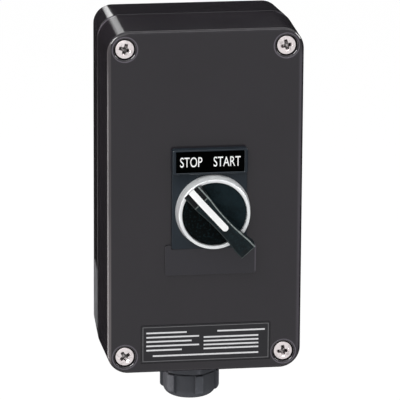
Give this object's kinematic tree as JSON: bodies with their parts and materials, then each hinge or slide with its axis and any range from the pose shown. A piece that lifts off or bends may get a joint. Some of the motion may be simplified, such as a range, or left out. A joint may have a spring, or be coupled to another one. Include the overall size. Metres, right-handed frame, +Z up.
{
  "type": "rotary selector control station",
  "caption": "Wall-mounted dark metal control box with a long-handled two-position stop and start selector, legend holder, corner screws and a cable gland below.",
  "frame": {"origin": "centre of the rear face, on the wall", "axes": "+Z up, +Y into the wall, +X to the right when looking at the front, so the front faces -Y"},
  "size_m": [0.079, 0.071, 0.1632],
  "materials": {
    "enclosure": "satin dark charcoal paint on a casting",
    "rubber": "matte black",
    "screw_steel": "plated, satin",
    "brass": "plain",
    "foil": "dull silver foil, bare of print",
    "holder": "satin dark blue-grey",
    "legend_black": "black with white lettering",
    "nameplate_black": "black plate",
    "satin_chrome": "satin chrome",
    "grey_plastic": "moulded grey",
    "cast_zinc": "plain casting",
    "cover_plastic": "moulded dark grey",
    "handle_black": "black, lightly glossy",
    "marker_white": "white inlay",
    "white_plastic": "natural white",
    "spring_steel": "bright",
    "gland_plastic": "black polyamide"
  },
  "bodies": {
    "station": {"base": "enclosure", "lid": "enclosure", "lid_gasket": "rubber", "lid_screws": "screw_steel", "lid_screw_seals": "rubber", "earth_screw": "brass", "earth_cup_washer": "brass", "foil_label": "foil", "legend_holder": "holder", "legend_insert": "legend_black", "lower_plate": "enclosure", "nameplate": "nameplate_black", "head_gasket": "rubber", "head_body": "grey_plastic", "bezel_ring": "satin_chrome", "fixing_collar": "cast_zinc", "clamp_screws": "screw_steel", "block_housing_left": "grey_plastic", "block_housing_right": "grey_plastic", "block_cover_left": "cover_plastic", "block_cover_right": "cover_plastic", "fixed_contacts_left": "brass", "fixed_contacts_right": "brass", "terminal_screws": "screw_steel", "contact_spring_left": "spring_steel", "contact_spring_right": "spring_steel", "gland_washer": "rubber", "gland_body": "gland_plastic", "gland_locknut": "gland_plastic", "gland_seal": "rubber", "gland_dome_nut": "gland_plastic"},
    "selector": {"turning_disc": "handle_black", "disc_seal": "rubber", "selector_handle": "handle_black", "handle_marker": "marker_white", "detent_ball": "spring_steel", "detent_spring": "spring_steel", "selector_cam": "white_plastic", "cam_screw": "screw_steel"},
    "left_plunger": {"plunger_left": "white_plastic", "bridge_left": "brass"},
    "right_plunger": {"plunger_right": "white_plastic", "bridge_right": "brass"}
  },
  "joints": [
    {"name": "selector_turn", "type": "hinge", "parent": "station", "child": "selector", "pos_m": [0.0028, -0.055, -0.003], "axis": [0, 1, 0], "range_deg": [0, 90]},
    {"name": "left_plunger_slide", "type": "slide", "parent": "station", "child": "left_plunger", "axis": [0, 1, 0], "range_m": [-0.003, 0], "deforming": ["contact_spring_left"]},
    {"name": "right_plunger_slide", "type": "slide", "parent": "station", "child": "right_plunger", "axis": [0, 1, 0], "range_m": [0, 0.003], "deforming": ["contact_spring_right"]}
  ],
  "couplings": [
    {"joint": "left_plunger_slide", "follows": "selector_turn", "m_per_rad": -0.0019098},
    {"joint": "right_plunger_slide", "follows": "selector_turn", "m_per_rad": 0.0019098}
  ]
}
